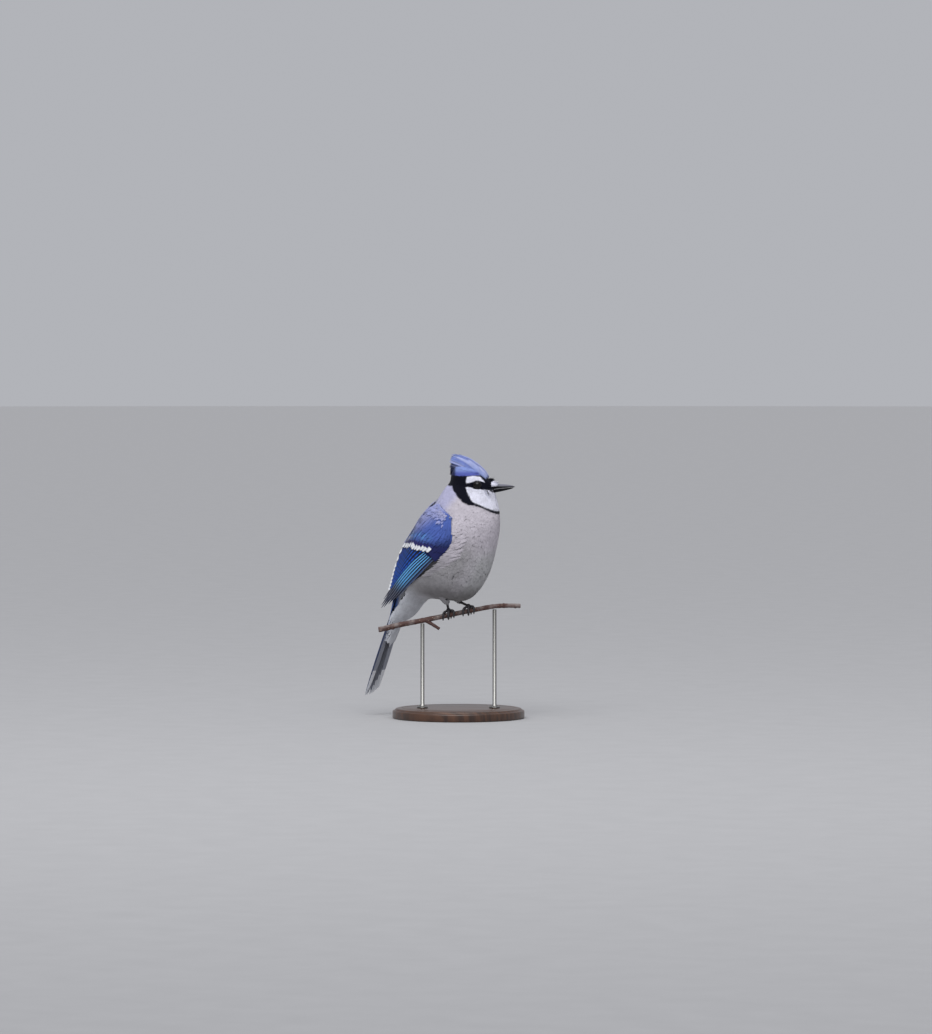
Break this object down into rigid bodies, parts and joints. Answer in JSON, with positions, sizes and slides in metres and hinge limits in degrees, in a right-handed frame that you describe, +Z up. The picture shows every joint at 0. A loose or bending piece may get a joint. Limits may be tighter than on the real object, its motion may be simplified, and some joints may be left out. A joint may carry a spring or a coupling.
{
  "type": "blue jay model on a display stand",
  "caption": "Still, life-size model of a perched blue jay gripping a cut twig, held over a round wooden base by two thin metal rods.",
  "frame": {"origin": "centre of the stand base's underside, below the middle of the stretch of twig between the two feet", "axes": "+Z up, +X the way the body faces, +Y the bird's left side, sagittal plane of the body at y = 0"},
  "size_m": [0.1734, 0.132, 0.2642],
  "materials": {
    "crest_feathers": "soft lavender-blue feathers, matt with a faint sheen",
    "head_feathers": "fine white face feathers with a black eye line and collar",
    "body_feathers": "soft pale grey body feathers, matt",
    "wing_feathers": "bright blue flight feathers with black bars and white tips, slight sheen",
    "tail_feathers": "blue tail feathers with black bars and white tips, grey beneath",
    "bill_horn": "dark grey horn, smooth with a soft gloss",
    "eye": "near-black brown, wet gloss",
    "leg_scales": "blackish scaly skin, dull",
    "claw_horn": "black horn, slightly glossy",
    "twig_bark": "smooth dark reddish-brown bark with grey patches",
    "stand_wood": "dark stained wood with satin varnish",
    "stand_metal": "thin brushed steel rod"
  },
  "bodies": {
    "root": {"crest": "crest_feathers", "head": "head_feathers", "neck": "body_feathers", "torso": "body_feathers", "tail": "tail_feathers", "wing_right": "wing_feathers", "wing_left": "wing_feathers", "thigh_right": "body_feathers", "thigh_left": "body_feathers", "bill_upper": "bill_horn", "bill_lower": "bill_horn", "eye_right": "eye", "eye_left": "eye", "shank_right": "leg_scales", "shank_left": "leg_scales", "foot_right": "leg_scales", "foot_left": "leg_scales", "claw_right_1": "claw_horn", "claw_right_2": "claw_horn", "claw_right_3": "claw_horn", "claw_right_4": "claw_horn", "claw_left_1": "claw_horn", "claw_left_2": "claw_horn", "claw_left_3": "claw_horn", "claw_left_4": "claw_horn", "perch": "twig_bark", "stand_base": "stand_wood", "stand_rod_1": "stand_metal", "stand_rod_2": "stand_metal"}
  },
  "joints": []
}
